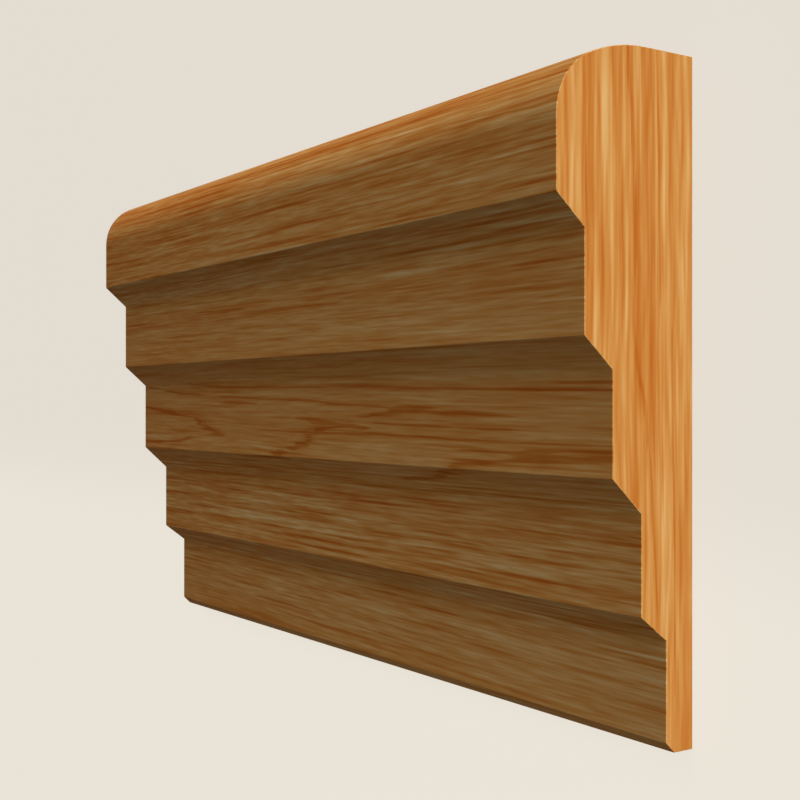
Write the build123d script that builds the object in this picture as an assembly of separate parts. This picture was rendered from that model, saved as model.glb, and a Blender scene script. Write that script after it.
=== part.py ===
"""Stepped dado rail: one short length of oak moulding, lying on its back.

X runs along the rail, Y up the wall once it is fixed (nose at +Y, foot at -Y), and Z out from the wall.
The origin is the middle of the flat back, which lies on Z = 0. All sizes are in millimetres.
"""

import os
from math import cos, radians, sin

from build123d import *

LENGTH = 117.0

# The stepped front, from the nose down to the foot. Each chamfer takes the front back to the next face.
FACE_HEIGHTS = (15.2, 10.3, 10.6, 10.2, 11.3)
CHAMFER_HEIGHTS = (3.1, 3.2, 3.5, 2.6)
CHAMFER_DEPTHS = (3.5, 3.6, 3.8, 3.4)

# The thin foot and its eased front edge
FOOT_THICKNESS = 3.7
FOOT_CHAMFER = 1.1

# The rounded nose: a small front arc runs into a flatter crown arc, which ends level with the top
NOSE_RADIUS = 7.0
CROWN_RADIUS = 17.5
CROWN_SWEEP = 25.2

HEIGHT = sum(FACE_HEIGHTS) + sum(CHAMFER_HEIGHTS)
THICKNESS = FOOT_THICKNESS + sum(CHAMFER_DEPTHS)
TOP = HEIGHT / 2
BOTTOM = -HEIGHT / 2


def nose_drop():
    """How far below the top the front arc starts."""
    return NOSE_RADIUS + (CROWN_RADIUS - NOSE_RADIUS) * (1 - cos(radians(CROWN_SWEEP)))


def nose_depth():
    """How far behind the front face the crown arc meets the top."""
    return NOSE_RADIUS + (CROWN_RADIUS - NOSE_RADIUS) * sin(radians(CROWN_SWEEP))


def front_points():
    """Corners of the stepped front as (height, thickness), from the foot up to the start of the nose."""
    height = TOP - FACE_HEIGHTS[0]
    thickness = THICKNESS
    corners = [(TOP - nose_drop(), thickness)]
    for chamfer_height, chamfer_depth, face_height in zip(CHAMFER_HEIGHTS, CHAMFER_DEPTHS, FACE_HEIGHTS[1:]):
        corners.append((height, thickness))
        height -= chamfer_height
        thickness -= chamfer_depth
        corners.append((height, thickness))
        height -= face_height
    corners.append((BOTTOM + FOOT_CHAMFER, FOOT_THICKNESS))
    corners.append((BOTTOM, FOOT_THICKNESS - FOOT_CHAMFER))
    return corners[::-1]


def section():
    """The moulding's cross-section, drawn with height along Y and thickness along Z."""
    front = Polyline((BOTTOM, 0), *front_points())
    nose = JernArc(front @ 1, (1, 0), NOSE_RADIUS, CROWN_SWEEP - 90)
    crown = JernArc(nose @ 1, nose % 1, CROWN_RADIUS, -CROWN_SWEEP)
    back = Polyline(crown @ 1, (TOP, 0), (BOTTOM, 0))
    return make_face(front + nose + crown + back)


def dado_rail():
    """The whole rail: its section run along the length."""
    return extrude(Plane.YZ * section(), LENGTH / 2, both=True)


os.makedirs("parts", exist_ok=True)
rail = dado_rail()
export_step(rail, "parts/dado_rail.step")

top_flat = THICKNESS - nose_depth()
print(f"section {HEIGHT:.1f} x {THICKNESS:.1f} mm, top flat {top_flat:.2f} mm, nose drop {nose_drop():.2f} mm")
print(f"volume {rail.volume:.0f} mm3")
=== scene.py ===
"""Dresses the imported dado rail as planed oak, on a pale floor under soft light.

The frame is the rail's own, in metres: X along the rail, Y up the wall once fixed, Z out from the wall.
The rail lies on its back on Z = 0, and the camera is rolled so that +Y is up in the picture.
"""

from math import cos, exp, pi, radians, sin, tan

import bmesh
import bpy
from mathutils import Matrix, Vector


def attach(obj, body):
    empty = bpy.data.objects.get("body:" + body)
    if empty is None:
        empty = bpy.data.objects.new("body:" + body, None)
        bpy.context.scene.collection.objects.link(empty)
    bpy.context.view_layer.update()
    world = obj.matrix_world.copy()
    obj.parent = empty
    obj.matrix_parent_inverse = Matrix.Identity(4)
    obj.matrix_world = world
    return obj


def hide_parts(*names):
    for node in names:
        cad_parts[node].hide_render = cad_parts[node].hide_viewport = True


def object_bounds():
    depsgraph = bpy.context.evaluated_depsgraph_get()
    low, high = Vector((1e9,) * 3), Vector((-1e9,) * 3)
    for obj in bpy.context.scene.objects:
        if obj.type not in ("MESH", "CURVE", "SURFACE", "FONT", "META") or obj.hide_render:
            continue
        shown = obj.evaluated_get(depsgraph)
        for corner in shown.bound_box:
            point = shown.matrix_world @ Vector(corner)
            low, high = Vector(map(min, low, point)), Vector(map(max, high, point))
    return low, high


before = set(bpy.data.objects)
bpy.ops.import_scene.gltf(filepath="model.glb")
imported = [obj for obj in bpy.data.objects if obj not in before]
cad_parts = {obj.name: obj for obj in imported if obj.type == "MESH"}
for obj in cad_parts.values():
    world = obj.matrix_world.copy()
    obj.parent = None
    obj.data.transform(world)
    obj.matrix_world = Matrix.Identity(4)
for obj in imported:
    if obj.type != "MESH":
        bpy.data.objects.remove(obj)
cad_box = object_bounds()

SCENE = bpy.context.scene
LOW, HIGH = cad_box
MIDDLE = (LOW + HIGH) / 2

# The rail's two ends, in millimetres along it
MM = 0.001
NEAR_END = HIGH.x / MM
FAR_END = LOW.x / MM

# The camera: its sight line's turn from the rail's length, where the near front edge lies, and its lens
SIGHT_TURN = radians(33.52)
EDGE_AHEAD = 118.35 * MM
EDGE_TO_RIGHT = 14.58 * MM
EYE_BELOW_MIDDLE = 0.35 * MM
LENS = 57.09
SENSOR = 36.0
PICTURE_LIFT = 0.008
CLIP_START = EDGE_AHEAD / 20

# The skin: turns between faces that make an arris or one flat, and the turn within which a face is an end
SHARP_TURN = radians(20)
FLAT_TURN = radians(0.5)
END_TURN = radians(20)

# How far sanding has eased the arrises, in how many steps and how round, and two gaps taken from that
ARRIS_EASE = 0.08 * MM
EASE_STEPS = 2
EASE_PROFILE = 0.5
WELD = ARRIS_EASE / 10
FLOOR_GAP = ARRIS_EASE / 4

# The mark that the eased faces carry
WORN = "worn"

# Oak's colour at a tone of 0, how far red, green and blue follow the tone, and the tone's reach and steps
OAK = (0.638, 0.2645, 0.058)
TONE_SHARES = (0.155, 0.446, 0.88)
DARKEST = -1.8
PALEST = 1.6
TONE_STEPS = 6

# Tone of the long faces and of the ends, and what the far end and worn arrises add to it
FACE_TONE = 0.50
END_TONE = 0.05
FAR_TONE = -0.26
WORN_TONE = 0.06

# The finish: roughness of the darkest and palest grain, gloss, and how deep and how strong the pores are
ROUGHNESS = (0.78, 0.60)
GLOSS = 0.05
PORE_DEPTH = 0.02 * MM
PORE_STRENGTH = 0.4

# The grain below is in millimetres.
# Pores and pale fibres, thin spindles along the grain: how far apart, how long, core, edge and strength
FACE_PORES = (
    (0.62, 26, 0.12, 0.46, -0.85),
    (0.95, 60, 0.08, 0.36, -1.0),
    (0.66, 38, 0.10, 0.42, 0.45),
)
END_PORES = (
    (0.90, 36, 0.10, 0.40, -0.46),
    (1.30, 50, 0.08, 0.36, 0.24),
)

# Up the section, as points of (height, value): what is added to the tone, and how strong the grain is. The
# redder tone towards the nose's top is partly a band in the wood and partly painted warm light where the key
# lights the top.
SECTION_TONE_AND_PAINTED_WARM_LIGHT = (
    (-35, -0.04), (-28, -0.05), (-16, -0.12), (-2, 0.06), (2, 0.06), (5, -0.1), (8, 0.0), (14, 0.0),
    (18, 0.14), (20, -0.1), (23, -0.3), (29, -0.16), (32, -0.34)
)
SECTION_GRAIN = ((-35, 0.9), (-28, 0.95), (-16, 1.3), (-2, 0.7), (11, 0.95), (23, 1.2), (32, 1.1))

# Soft streaks: width, length and strength, from fibres to broad bands
FACE_STREAKS = (
    (0.20, 3.5, 0.34),
    (0.40, 10, 0.38),
    (1.0, 22, 0.20),
    (1.8, 150, 0.20),
    (5.0, 160, 0.10),
)
END_STREAKS = (
    (0.30, 6, 0.37),
    (0.55, 14, 0.46),
    (1.1, 52, 0.39),
    (2.4, 90, 0.32),
    (5.0, 150, 0.12),
)

# How the fibres run: their fall along the rail, how far they wander, and in cells of what size
FALL = 0.008
WANDER = 0.35
WANDER_CELL = (70, 14, 14)
RING_WANDER = 0.08
RING_WANDER_CELL = (40, 12, 40)

# Flames of the figure: half-width, then points on the line as (along, height), or on an end (height, out)
FLAMES = (
    (0.20, ((-85, 1.2), (-57, -0.5), (-47, -1.4), (-39, -2.2), (-35, -2.8), (-32, -3.3), (-26, -3.8))),
    (0.18, ((-85, -7.0), (-54, -6.3), (-44, -5.9), (-37, -5.2), (-31, -4.9), (-24, -4.7))),
    (0.45, ((-40, -2.3), (-36, -2.9), (-33, -3.7), (-31, -4.3), (-25, -4.8))),
    (0.13, ((-85, 5.2), (-57, 3.0), (-44, 1.9), (-30, 1.2), (-5, 0.5), (11, -0.2), (25, -0.7), (55, -1.3))),
    (0.13, ((-58, 4.8), (-44, 3.7), (-36, 3.0), (-10, 2.4), (10, 2.2), (30, 1.7), (75, 1.0))),
    (0.10, ((-30, -3.0), (-11, -3.8), (20, -3.8), (38, -4.2), (75, -4.0))),
    (0.10, ((12, -2.3), (29, -2.7), (48, -2.9))),
    (0.16, ((-33, 0.3), (-25, 0.2), (-15, 0.0))),
    (0.40, ((-18, -7.8), (-9, -7.0), (-6, -6.1), (-2, -5.0), (0, -4.2), (2, -3.5), (5, -3.1), (12, -2.9))),
    (0.34, ((-7, -1.9), (-2, -2.1), (2, -2.5), (5, -2.7), (9, -2.9), (16, -3.4))),
    (0.36, ((7, -1.9), (12, -1.7), (17, -1.3), (21, -0.8), (27, -0.8), (32, -1.1), (46, -1.4))),
    (0.46, ((12, -9.2), (25, -8.9), (30, -8.1), (33, -7.2), (38, -6.6), (43, -6.0), (50, -5.7), (75, -5.3))),
    (0.20, ((29, -5.1), (36, -5.2), (43, -5.3), (48, -5.0), (75, -4.8))),
    (0.11, ((-32, 13.9), (-22, 13.7), (-12, 13.5))),
    (0.11, ((-33, -30.2), (-22, -30.3), (-11, -30.5))),
    (0.07, ((-40, 31.5), (20, 31.4), (90, 31.2))),
    (0.08, ((-90, 30.3), (-20, 30.4), (40, 30.6))),
)
END_FLAMES = (
    (0.26, ((-30, 4.2), (-15, 5.3), (-6, 5.9), (0, 6.6), (4, 7.6), (22, 8.0), (33, 8.7), (60, 9.2))),
    (0.13, ((8, 13.8), (24, 14.4), (34, 14.5), (50, 14.5))),
    (0.11, ((4, 4.5), (24, 4.7), (35, 5.0), (60, 5.2))),
    (0.11, ((-34, 2.4), (-8, 2.7), (12, 2.9))),
)

# Tone of a flame's heart and halo, how soft their edges are, and how much of it an end shows
FLAME_TONE = -1.08
FLAME_EDGE = (-0.1, 0.6)
HALO_TONE = -0.3
HALO_EDGE = (-2.2, 0.0)
END_FLAME_SHARE = 0.6

# How a flame thins out and fades towards its ends
FLAME_TAPER = 0.4
FLAME_FADE = (0.0, 0.2)
PAST_FLAME = -3.0
THINNEST = 0.05

# How ragged a flame's edges are, and how its ends fray from fibre to fibre
RAG_CELL = (9, 0.5, 0.5)
RAG = 0.75
FRAY_CELL = (44, 0.45, 0.45)
FRAY = 2.4

# Noise is stretched to run this far on both sides of 0, and a curve's points lie within this reach of 0
NOISE_REACH = 2.0
CURVE_REACH = 90

# The rail turns redder from the first of these places along it to the second
FAR_TURN = (NEAR_END / 3, FAR_END)

# The floor, and the heights between which its colour in the picture turns
FLOOR_SIZE = 4.0
FLOOR_COLOUR = (0.10, 0.096, 0.09, 1)
BACKDROP_ABOVE = (0.746, 0.695, 0.619, 1)
BACKDROP_BELOW = (0.798, 0.746, 0.659, 1)
BACKDROP_TURN = (-25 * MM, -3 * MM)

# The sky's light on the rail, and its colour in the picture
SKY = (0.012, 0.012, 0.012, 1)
SKY_SEEN = (0.775, 0.723, 0.644, 1)

# Sockets for colours on the Mix node: its two inputs and its output
MIX_FIRST = 6
MIX_SECOND = 7
MIXED = 2

# Lamps: which way and how far each stands, how bright a facing white is, and how wide and high it looks
FAR = 6.0
CLOSE = 0.22
LAMPS = {
    "key": ((0.87, 0.505, 0.011), FAR, 1.05, radians(17), radians(1.0)),
    "back": ((-1.0, 0.02, 0.04), FAR, 0.12, radians(17), radians(2.0)),
    "above": ((0.15, 0.67, 0.73), FAR, 0.29, radians(33), radians(33)),
    "fill": ((0.35, -0.5, 0.79), CLOSE, 0.067, radians(26), radians(26)),
}


class Nodes:
    """Adds shader nodes to one tree, with each input set to a value or wired to another node's output."""

    def __init__(self, tree):
        tree.nodes.clear()
        self.tree = tree

    def node(self, kind, inputs, **settings):
        """A new node of that kind."""
        node = self.tree.nodes.new("ShaderNode" + kind)
        for name, value in settings.items():
            setattr(node, name, value)
        for socket, value in inputs.items():
            if isinstance(value, bpy.types.NodeSocket):
                self.tree.links.new(value, node.inputs[socket])
            else:
                node.inputs[socket].default_value = value
        return node

    def add(self, kind, inputs, output=0, **settings):
        """One output of a new node."""
        return self.node(kind, inputs, **settings).outputs[output]

    def math(self, operation, *values):
        """The result of one sum on values, wired or plain."""
        return self.add("Math", dict(enumerate(values)), operation=operation)

    def axes(self, place):
        """The place's three coordinates."""
        return [self.add("SeparateXYZ", {0: place}, axis) for axis in "XYZ"]

    def slide(self, value, start, end, low=0.0, high=1.0, interpolation_type="SMOOTHSTEP"):
        """Low where value is at start or before, high where it is at end or after."""
        ends = {"Value": value, "From Min": start, "From Max": end, "To Min": low, "To Max": high}
        return self.add("MapRange", ends, interpolation_type=interpolation_type)

    def cells(self, place, cell):
        """Place counted in cells of that size, from a start of its own so that no two layers line up."""
        shares = [1 / side for side in cell]
        start = [sum(cell)] * 3
        return self.add("VectorMath", {0: place, 1: shares, 2: start}, operation="MULTIPLY_ADD")

    def noise(self, place, cell, halvings=0):
        """Smooth noise, mostly from -1 to 1, whose largest cells measure cell along the place's axes."""
        inputs = {"Vector": self.cells(place, cell), "Scale": 1.0, "Detail": halvings}
        return self.math("MULTIPLY_ADD", self.add("TexNoise", inputs), 2 * NOISE_REACH, -NOISE_REACH)

    def spindle(self, place, cell, core, edge):
        """1 in the core of a spindle that lies in each cell, and 0 from its edge on."""
        off = self.add("TexVoronoi", {"Vector": self.cells(place, cell), "Scale": 1.0}, "Distance")
        return self.slide(off, core, edge, 1.0, 0.0)

    def curve(self, value, points):
        """A smooth line through points, level before the first and after the last."""
        span = 2 * CURVE_REACH
        node = self.node("FloatCurve", {"Value": self.math("MULTIPLY_ADD", value, 1 / span, 0.5)})
        node.mapping.extend = "HORIZONTAL"
        line = node.mapping.curves[0].points
        places = [(x / span + 0.5, y / span + 0.5) for x, y in points]
        for place in places[1:-1]:
            line.new(*place)
        line[0].location = places[0]
        line[-1].location = places[-1]
        node.mapping.update()
        return self.math("MULTIPLY_ADD", node.outputs[0], span, -CURVE_REACH)


def place_camera():
    """Sights the rail from beyond its near end, with the wall's up as the picture's up."""
    ahead = Vector((-cos(SIGHT_TURN), 0, -sin(SIGHT_TURN)))
    right = Vector((sin(SIGHT_TURN), 0, -cos(SIGHT_TURN)))
    up = Vector((0, 1, 0))
    near_edge = Vector((HIGH.x, MIDDLE.y - EYE_BELOW_MIDDLE, HIGH.z))
    place = near_edge - ahead * EDGE_AHEAD - right * EDGE_TO_RIGHT
    data = bpy.data.cameras.new("camera")
    data.sensor_width = SENSOR
    data.lens = LENS
    data.shift_y = PICTURE_LIFT
    data.clip_start = CLIP_START
    camera = bpy.data.objects.new("camera", data)
    camera.matrix_world = Matrix.Translation(place) @ Matrix((right, up, -ahead)).transposed().to_4x4()
    SCENE.collection.objects.link(camera)
    SCENE.camera = camera


def planed_skin(solid):
    """The solid's faces joined up: outer arrises eased and marked as worn, inner ones sharp, nose smooth."""
    skin = bmesh.new()
    skin.from_mesh(solid.data)
    bmesh.ops.remove_doubles(skin, verts=skin.verts, dist=WELD)
    bmesh.ops.dissolve_limit(skin, angle_limit=FLAT_TURN, verts=skin.verts, edges=skin.edges)
    sharp = [edge for edge in skin.edges if edge.calc_face_angle() > SHARP_TURN]
    arrises = [edge for edge in sharp if edge.is_convex]
    for edge in sharp:
        edge.smooth = edge.is_convex
    worn = skin.faces.layers.float.new(WORN)
    eased = bmesh.ops.bevel(
        skin,
        geom=arrises,
        offset=ARRIS_EASE,
        offset_type="OFFSET",
        segments=EASE_STEPS,
        profile=EASE_PROFILE,
        affect="EDGES",
    )
    for face in eased["faces"]:
        face[worn] = 1.0
    skin.normal_update()
    for face in skin.faces:
        face.smooth = True
        face.material_index = int(abs(face.normal.x) > cos(END_TURN))
    mesh = bpy.data.meshes.new("oak_rail")
    skin.to_mesh(mesh)
    skin.free()
    return mesh


def flame(nodes, along, across, stroke):
    """How far inside a flame a spot lies: 1 on its line, 0 at its edge, and well below 0 past its ends."""
    half_width, points = stroke
    start, end = points[0][0], points[-1][0]
    taper = FLAME_TAPER * (end - start)
    rise = nodes.slide(along, start, start + taper)
    swell = nodes.math("MULTIPLY", rise, nodes.slide(along, end - taper, end, 1.0, 0.0))
    width = nodes.math("MULTIPLY_ADD", swell, half_width, THINNEST)
    middle = nodes.slide(swell, *FLAME_FADE, PAST_FLAME, 1.0)
    off = nodes.math("ABSOLUTE", nodes.math("SUBTRACT", across, nodes.curve(along, points)))
    return nodes.math("SUBTRACT", middle, nodes.math("DIVIDE", off, width))


def figure(nodes, strokes, along, across, fibres):
    """Tone of all the flames together: a dark ragged heart in a fainter halo, and 0 away from them."""
    inside = flame(nodes, along, across, strokes[0])
    for stroke in strokes[1:]:
        inside = nodes.math("MAXIMUM", inside, flame(nodes, along, across, stroke))
    ragged = nodes.math("MULTIPLY_ADD", nodes.noise(fibres, RAG_CELL, halvings=1), RAG, inside)
    heart = nodes.slide(ragged, *FLAME_EDGE, 0.0, FLAME_TONE)
    return nodes.math("ADD", heart, nodes.slide(ragged, *HALO_EDGE, 0.0, HALO_TONE))


def pores(nodes, fibres, layers):
    """Tone of the pores and pale fibres. The first axis of fibres runs along the grain."""
    total = 0.0
    for apart, length, core, edge, strength in layers:
        shown = nodes.spindle(fibres, (length, apart, apart), core, edge)
        total = nodes.math("MULTIPLY_ADD", shown, strength, total)
    return total


def streaks(nodes, fibres, layers, total):
    """Total with soft streaks of several sizes laid over it."""
    for width, length, strength in layers:
        total = nodes.math("MULTIPLY_ADD", nodes.noise(fibres, (length, width, width)), strength, total)
    return total


def long_grain(nodes, place):
    """Tone and pores of the long faces: streaks and pores along the rail, and a few darker flames."""
    along, height, out = nodes.axes(place)
    level = nodes.math("MULTIPLY_ADD", along, FALL, height)
    fibre = nodes.math("MULTIPLY_ADD", nodes.noise(place, WANDER_CELL, halvings=1), WANDER, level)
    fibres = nodes.add("CombineXYZ", {0: along, 1: fibre, 2: out})
    frayed = nodes.math("MULTIPLY_ADD", nodes.noise(fibres, FRAY_CELL, halvings=1), FRAY, along)
    holes = pores(nodes, fibres, FACE_PORES)
    grain = streaks(nodes, fibres, FACE_STREAKS, holes)
    tone = nodes.math("MULTIPLY_ADD", grain, nodes.curve(height, SECTION_GRAIN), FACE_TONE)
    for more in (
        nodes.slide(along, *FAR_TURN, 0.0, FAR_TONE),
        # Tone by height up the section; its redder nose top is partly painted warm light from the key
        nodes.curve(height, SECTION_TONE_AND_PAINTED_WARM_LIGHT),
        figure(nodes, FLAMES, frayed, height, fibres),
    ):
        tone = nodes.math("ADD", tone, more)
    return tone, holes


def end_grain(nodes, place):
    """Tone and pores of the sawn ends: growth rings parallel to the wall, one in front of the other."""
    along, height, out = nodes.axes(place)
    ring = nodes.math("MULTIPLY_ADD", nodes.noise(place, RING_WANDER_CELL), RING_WANDER, out)
    rings = nodes.add("CombineXYZ", {0: height, 1: ring, 2: along})
    holes = pores(nodes, rings, END_PORES)
    lines = figure(nodes, END_FLAMES, height, ring, rings)
    tone = nodes.math("MULTIPLY_ADD", lines, END_FLAME_SHARE, nodes.math("ADD", holes, END_TONE))
    return streaks(nodes, rings, END_STREAKS, tone), holes


def oak_colours(nodes, tone):
    """Turns the grain's tone into oak's own colours."""
    ramp = nodes.node("ValToRGB", {"Fac": nodes.slide(tone, DARKEST, PALEST, interpolation_type="LINEAR")})
    stops = ramp.color_ramp.elements
    for step in range(1, TONE_STEPS):
        stops.new(step / TONE_STEPS)
    for stop in stops:
        level = DARKEST + (PALEST - DARKEST) * stop.position
        stop.color = (*(mean * exp(share * level) for mean, share in zip(OAK, TONE_SHARES)), 1)
    return ramp.outputs["Color"]


def oak(name, grain):
    """Planed oak with that grain, a little paler where an arris is worn."""
    material = bpy.data.materials.new(name)
    material.use_nodes = True
    nodes = Nodes(material.node_tree)
    metres = nodes.add("TexCoord", {}, "Object")
    place = nodes.add("VectorMath", {0: metres, "Scale": 1 / MM}, operation="SCALE")
    tone, holes = grain(nodes, place)
    worn = nodes.add("Attribute", {}, "Fac", attribute_name=WORN)
    tone = nodes.math("MULTIPLY_ADD", worn, WORN_TONE, tone)
    finish = {
        "Base Color": oak_colours(nodes, tone),
        "Roughness": nodes.slide(tone, DARKEST, PALEST, *ROUGHNESS, "LINEAR"),
        "Specular IOR Level": GLOSS,
        "Normal": nodes.add("Bump", {"Strength": PORE_STRENGTH, "Distance": PORE_DEPTH, "Height": holes}),
    }
    nodes.node("OutputMaterial", {"Surface": nodes.add("BsdfPrincipled", finish)})
    return material


def seen(nodes):
    """1 for what the camera sees, directly, mirrored or through glass, and 0 for the light on the rail."""
    rays = [nodes.add("LightPath", {}, f"Is {kind} Ray") for kind in ("Camera", "Glossy", "Transmission")]
    return nodes.math("MAXIMUM", nodes.math("MAXIMUM", rays[0], rays[1]), rays[2])


def lay_floor():
    """A plain pale floor that keeps the rail's shadow, a little lighter below the rail in the picture."""
    half = FLOOR_SIZE / 2
    mesh = bpy.data.meshes.new("floor")
    corners = [(-half, -half, 0), (half, -half, 0), (half, half, 0), (-half, half, 0)]
    mesh.from_pydata(corners, [], [(0, 1, 2, 3)])
    material = bpy.data.materials.new("floor")
    material.use_nodes = True
    nodes = Nodes(material.node_tree)
    height = nodes.axes(nodes.add("TexCoord", {}, "Object"))[1]
    turned = nodes.slide(height, *BACKDROP_TURN)
    colours = {"Factor": turned, MIX_FIRST: BACKDROP_BELOW, MIX_SECOND: BACKDROP_ABOVE}
    backdrop = nodes.add("Mix", colours, MIXED, data_type="RGBA")
    lit = nodes.add("BsdfDiffuse", {"Color": FLOOR_COLOUR})
    glow = nodes.add("Emission", {"Color": backdrop, "Strength": seen(nodes)})
    nodes.node("OutputMaterial", {"Surface": nodes.add("AddShader", {0: lit, 1: glow})})
    mesh.materials.append(material)
    floor = bpy.data.objects.new("floor", mesh)
    floor.location.z = LOW.z - FLOOR_GAP
    SCENE.collection.objects.link(floor)


def light_sky():
    """A weak even sky, which the camera sees as a pale backdrop."""
    world = bpy.data.worlds.new("sky")
    world.use_nodes = True
    nodes = Nodes(world.node_tree)
    shown = nodes.add("Background", {"Color": SKY_SEEN})
    lit = nodes.add("Background", {"Color": SKY})
    nodes.node("OutputWorld", {"Surface": nodes.add("MixShader", {0: seen(nodes), 1: lit, 2: shown})})
    SCENE.world = world


def soft_box(name, direction, distance, level, spread, rise):
    """A lamp turned to the rail, as wide and high as it looks from there."""
    aim = Vector(direction).normalized()
    light = bpy.data.lights.new(name, "AREA")
    light.shape = "RECTANGLE"
    light.size = 2 * distance * tan(spread / 2)
    light.size_y = 2 * distance * tan(rise / 2)
    light.energy = level * (pi * distance) ** 2
    lamp = bpy.data.objects.new(name, light)
    turn = aim.to_track_quat("Z", "Y").to_matrix().to_4x4()
    lamp.matrix_world = Matrix.Translation(MIDDLE + aim * distance) @ turn
    SCENE.collection.objects.link(lamp)


def light_rail():
    """A low key strip beyond the near end, a soft box above, a close fill, and a weak strip at the back.

    The last one stands beyond the far end, lights little else, and doesn't glance off the faces.
    """
    light_sky()
    for name, lamp in LAMPS.items():
        soft_box(name, *lamp)
    SCENE.objects["back"].visible_glossy = False


def dress_rail():
    """One skin of oak in place of the bare solid."""
    rail = bpy.data.objects.new("oak_rail", planed_skin(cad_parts["dado_rail"]))
    rail.data.materials.append(oak("oak", long_grain))
    rail.data.materials.append(oak("oak_end", end_grain))
    SCENE.collection.objects.link(rail)
    normals = rail.modifiers.new("flat_faces", "WEIGHTED_NORMAL")
    normals.keep_sharp = True
    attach(rail, "root")
    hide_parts("dado_rail")


SCENE.view_settings.view_transform = "Standard"
place_camera()
dress_rail()
lay_floor()
light_rail()
